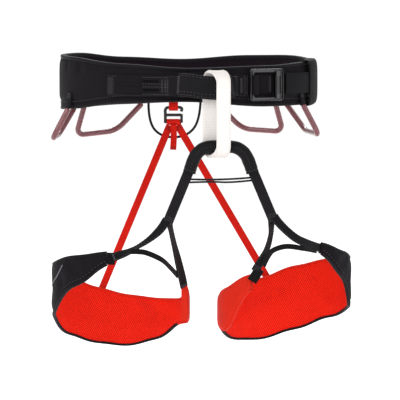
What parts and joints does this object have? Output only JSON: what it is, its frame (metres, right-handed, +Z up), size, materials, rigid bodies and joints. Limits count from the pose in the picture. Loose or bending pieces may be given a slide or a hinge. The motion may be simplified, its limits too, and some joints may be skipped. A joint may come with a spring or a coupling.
{
  "type": "climbing harness",
  "caption": "Climbing harness with a padded waist belt, belay loop, adjustable buckle, gear loops, haul loop and padded leg loops joined by risers.",
  "frame": {"origin": "centre of the waist opening, at the belt's mid height", "axes": "+X towards the wearer's left, +Y towards the wearer's back, +Z up"},
  "size_m": [0.352, 0.2425, 0.3476],
  "materials": {
    "shell_fabric": "woven nylon pack cloth",
    "lining_mesh": "spacer mesh",
    "binding_tape": "folded tape",
    "foam": "closed-cell foam",
    "black_webbing": "woven webbing",
    "black_elastic": "woven elastic",
    "sleeve_fabric": "tight weave sleeve",
    "belay_webbing": "woven webbing",
    "loop_tube": "smoky translucent tube",
    "loop_core": "narrow webbing",
    "buckle_metal": "black satin",
    "hook_plastic": "moulded",
    "riser_elastic": "woven elastic",
    "leg_mesh": "spacer mesh",
    "black_cord": "braided cord"
  },
  "bodies": {
    "waist_belt": {"waist_foam": "foam", "waist_shell": "shell_fabric", "waist_lining": "lining_mesh", "waist_binding": "binding_tape", "front_webbing": "black_webbing", "waist_strap": "black_webbing", "strap_tail": "black_webbing", "strap_keeper": "black_elastic", "tie_in_webbing": "black_webbing", "tie_in_sleeve": "sleeve_fabric", "buckle_frame": "buckle_metal", "gear_tabs": "black_webbing", "haul_tabs": "black_webbing", "riser_anchor": "riser_elastic"},
    "buckle_slider": {"buckle_slider": "buckle_metal"},
    "belay_loop": {"belay_loop": "belay_webbing"},
    "haul_loop": {"haul_loop": "black_cord"},
    "rear_risers": {"riser_hook": "hook_plastic", "riser_wrap": "riser_elastic", "riser_left": "riser_elastic", "riser_right": "riser_elastic", "riser_tail": "riser_elastic"},
    "leg_loops": {"arch_left": "black_elastic", "arch_right": "black_elastic", "branch_left_inner": "black_webbing", "branch_left_outer": "black_webbing", "branch_right_inner": "black_webbing", "branch_right_outer": "black_webbing", "crotch_cord_lower": "black_cord", "crotch_cord_upper": "black_cord", "inner_tab_left": "leg_mesh", "inner_tab_right": "leg_mesh", "leg_binding_left": "binding_tape", "leg_binding_right": "binding_tape", "leg_end_bar": "black_webbing", "leg_foam_left": "foam", "leg_foam_right": "foam", "leg_keeper_left": "black_webbing", "leg_keeper_right": "black_webbing", "leg_mesh_left": "leg_mesh", "leg_mesh_right": "leg_mesh", "leg_riser_left": "black_webbing", "leg_riser_right": "black_webbing", "leg_shell_left": "shell_fabric", "leg_shell_right": "shell_fabric", "lower_sleeve": "sleeve_fabric", "lower_webbing": "black_webbing"},
    "gear_loop_front_left": {"gear_tube_front_left": "loop_tube", "gear_core_front_left": "loop_core"},
    "gear_loop_rear_left": {"gear_tube_rear_left": "loop_tube", "gear_core_rear_left": "loop_core"},
    "gear_loop_rear_right": {"gear_tube_rear_right": "loop_tube", "gear_core_rear_right": "loop_core"},
    "gear_loop_front_right": {"gear_tube_front_right": "loop_tube", "gear_core_front_right": "loop_core"}
  },
  "joints": [
    {"name": "gear_swing_front_left", "type": "hinge", "parent": "waist_belt", "child": "gear_loop_front_left", "pos_m": [-0.13821, -0.04265, -0.03171], "axis": [0.0639, 0.9977, -0.0213], "range_deg": [-20, 55], "stiffness_Nm_per_rad": 0.05},
    {"name": "gear_swing_rear_left", "type": "hinge", "parent": "waist_belt", "child": "gear_loop_rear_left", "pos_m": [-0.1206, 0.06286, -0.03336], "axis": [0.8904, 0.4539, 0.0353], "range_deg": [-20, 55], "stiffness_Nm_per_rad": 0.05},
    {"name": "gear_swing_rear_right", "type": "hinge", "parent": "waist_belt", "child": "gear_loop_rear_right", "pos_m": [0.10573, 0.07432, -0.02958], "axis": [0.934, -0.3573, 0.0019], "range_deg": [-20, 55], "stiffness_Nm_per_rad": 0.05},
    {"name": "gear_swing_front_right", "type": "hinge", "parent": "waist_belt", "child": "gear_loop_front_right", "pos_m": [0.13766, -0.04348, -0.02725], "axis": [0.1707, -0.9851, 0.0182], "range_deg": [-20, 55], "stiffness_Nm_per_rad": 0.05},
    {"name": "belay_swing", "type": "hinge", "parent": "waist_belt", "child": "belay_loop", "pos_m": [0.0355, -0.118, 0.013], "axis": [-1, 0, 0], "range_deg": [-5, 13]},
    {"name": "leg_hang", "type": "hinge", "parent": "belay_loop", "child": "leg_loops", "pos_m": [0.0355, -0.118, -0.07], "axis": [-1, 0, 0], "range_deg": [-13, 5]},
    {"name": "riser_swing", "type": "hinge", "parent": "waist_belt", "child": "rear_risers", "pos_m": [-0.015, 0.1042, -0.034], "axis": [-1, 0, 0], "range_deg": [-2.5, 5.5]},
    {"name": "haul_swing", "type": "hinge", "parent": "waist_belt", "child": "haul_loop", "pos_m": [-0.015, 0.1075, -0.027], "axis": [1, 0, 0], "range_deg": [0, 80]},
    {"name": "buckle_slide", "type": "slide", "parent": "waist_belt", "child": "buckle_slider", "axis": [-0.8843, -0.4668, 0], "range_m": [0, 0.005]}
  ],
  "couplings": [
    {"joint": "leg_hang", "follows": "belay_swing", "ratio": -1},
    {"joint": "riser_swing", "follows": "belay_swing", "ratio": 0.3897}
  ]
}
